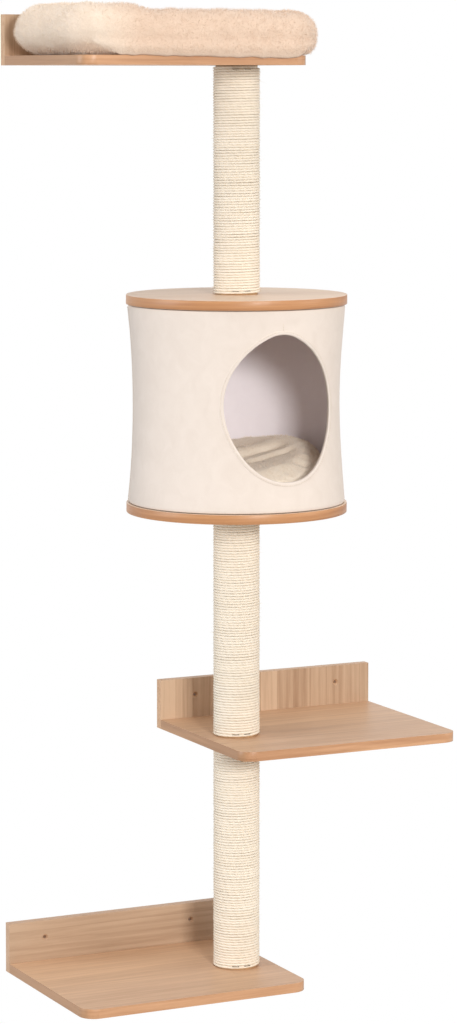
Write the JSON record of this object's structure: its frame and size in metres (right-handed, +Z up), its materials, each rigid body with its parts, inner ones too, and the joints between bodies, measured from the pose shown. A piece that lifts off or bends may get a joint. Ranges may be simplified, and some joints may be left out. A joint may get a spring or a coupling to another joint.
{
  "type": "wall mounted cat tree",
  "caption": "Wall mounted cat tree: wood-effect shelves screwed to the wall and stacked on sisal posts, with a round fabric condo and a plush bed on the top shelf.",
  "frame": {"origin": "on the wall plane, at the lower back board's back face, level with the lower shelf's standing surface and straight behind the posts' axis", "axes": "+Z up along the posts, +Y into the wall, +X along the wall, to the right as seen from the room"},
  "size_m": [0.654, 0.352, 1.5503],
  "materials": {
    "board": "light oak effect, satin",
    "plain_wood": "raw",
    "cardboard": "raw wound card tube",
    "sisal": "natural fibre rope",
    "steel": "zinc plated",
    "cover_fabric": "short plush",
    "lining_fabric": "smooth weave",
    "pad_plush": "long plush",
    "bed_plush": "long plush"
  },
  "bodies": {
    "tree": {"lower_shelf_board": "board", "lower_back_board": "board", "middle_shelf_board": "board", "middle_back_board": "board", "upper_shelf_board": "board", "upper_back_board": "board", "condo_base_disc": "board", "condo_top_disc": "board", "condo_base_cleat": "plain_wood", "condo_top_cleat": "plain_wood", "condo_rods": "plain_wood", "post_plugs": "plain_wood", "shelf_screws": "steel", "post_bolts": "steel", "middle_shelf_stud": "steel", "rope_staples": "steel", "condo_cover": "cover_fabric", "condo_lining": "lining_fabric", "entry_binding": "cover_fabric", "post_rope_ends": "sisal", "lower_post_tube": "cardboard", "lower_post_sisal": "sisal", "middle_post_tube": "cardboard", "middle_post_sisal": "sisal", "upper_post_tube": "cardboard", "upper_post_sisal": "sisal"},
    "bed": {"bed_bolster": "bed_plush", "bed_pad": "bed_plush"},
    "pad": {"condo_pad": "pad_plush"}
  },
  "joints": [
    {"name": "bed_lift", "type": "slide", "parent": "tree", "child": "bed", "axis": [0, 0, 1], "range_m": [0, 0.2]},
    {"name": "pad_lift", "type": "slide", "parent": "tree", "child": "pad", "axis": [0, 0, 1], "range_m": [0, 0.12]}
  ]
}
